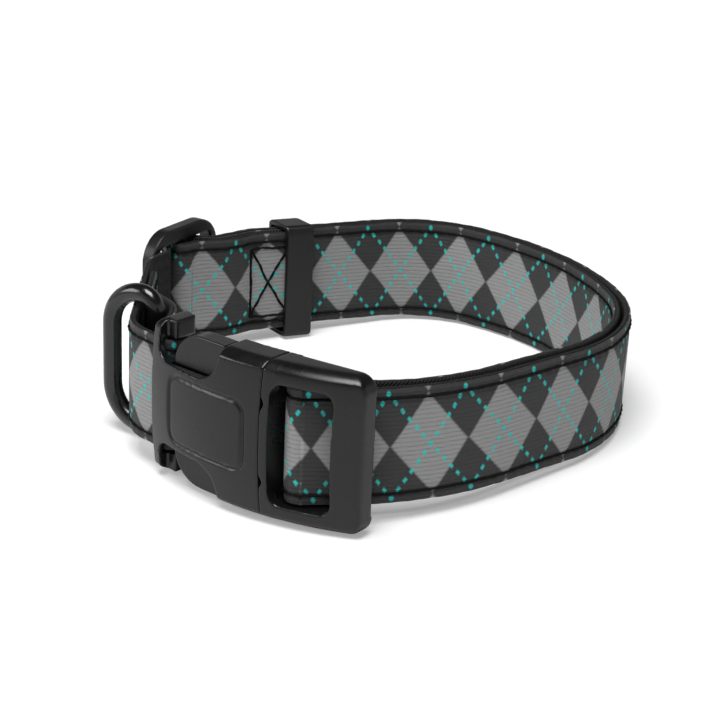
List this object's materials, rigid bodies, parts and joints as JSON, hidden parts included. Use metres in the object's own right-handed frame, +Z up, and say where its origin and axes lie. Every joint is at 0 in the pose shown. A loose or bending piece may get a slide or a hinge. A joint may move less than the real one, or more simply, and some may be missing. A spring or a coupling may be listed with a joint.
{
  "type": "adjustable quick-release pet collar",
  "caption": "Flat adjustable pet collar, closed, with printed argyle strap, contoured side-release buckle, D-ring, strap adjuster and keeper loop.",
  "frame": {"origin": "middle of the collar's outline in plan, on the floor it rests on", "axes": "+Z up along the strap's width, +X to the right and -Y towards the viewer of the picture; the buckle is at the front left"},
  "size_m": [0.1195, 0.1248, 0.036],
  "materials": {
    "buckle_plastic": "satin moulded acetal",
    "slide_plastic": "satin moulded acetal",
    "ring_metal": "gloss black coated steel wire",
    "webbing": "woven nylon webbing",
    "printed_ribbon": "printed polyester grosgrain ribbon, argyle",
    "thread": "bonded polyester thread"
  },
  "bodies": {
    "collar": {"socket": "buckle_plastic", "adjuster": "slide_plastic", "outer_webbing": "webbing", "outer_cover": "printed_ribbon", "inner_webbing": "webbing", "inner_cover": "printed_ribbon", "outer_seams": "thread", "inner_seams": "thread", "adjuster_box_stitch": "thread", "ring_box_stitch": "thread"},
    "plug_end": {"plug": "buckle_plastic", "front_webbing": "webbing", "front_cover": "printed_ribbon", "front_seams": "thread"},
    "upper_prong": {"upper_prong": "buckle_plastic"},
    "lower_prong": {"lower_prong": "buckle_plastic"},
    "d_ring": {"d_ring": "ring_metal"},
    "keeper": {"keeper": "slide_plastic"}
  },
  "joints": [
    {"name": "plug_slide", "type": "slide", "parent": "collar", "child": "plug_end", "axis": [0.7657, -0.643, -0.0173], "range_m": [0, 0.028], "deforming": ["upper_prong", "lower_prong"]},
    {"name": "upper_prong_press", "type": "hinge", "parent": "plug_end", "child": "upper_prong", "pos_m": [-0.0195, -0.04954, 0.02646], "axis": [-0.6417, -0.7654, 0.0475], "range_deg": [0, 14], "stiffness_Nm_per_rad": 0.6},
    {"name": "lower_prong_press", "type": "hinge", "parent": "plug_end", "child": "lower_prong", "pos_m": [-0.02024, -0.04997, 0.00949], "axis": [0.6417, 0.7654, -0.0475], "range_deg": [0, 14], "stiffness_Nm_per_rad": 0.6},
    {"name": "d_ring_swing", "type": "hinge", "parent": "collar", "child": "d_ring", "pos_m": [-0.04677, -0.01394, 0.01825], "axis": [0.0438, 0.0253, 0.9987], "range_deg": [-2, 64]},
    {"name": "keeper_slide", "type": "slide", "parent": "collar", "child": "keeper", "axis": [-0.9325, -0.3577, 0.05], "range_m": [-0.02, 0.003]}
  ]
}
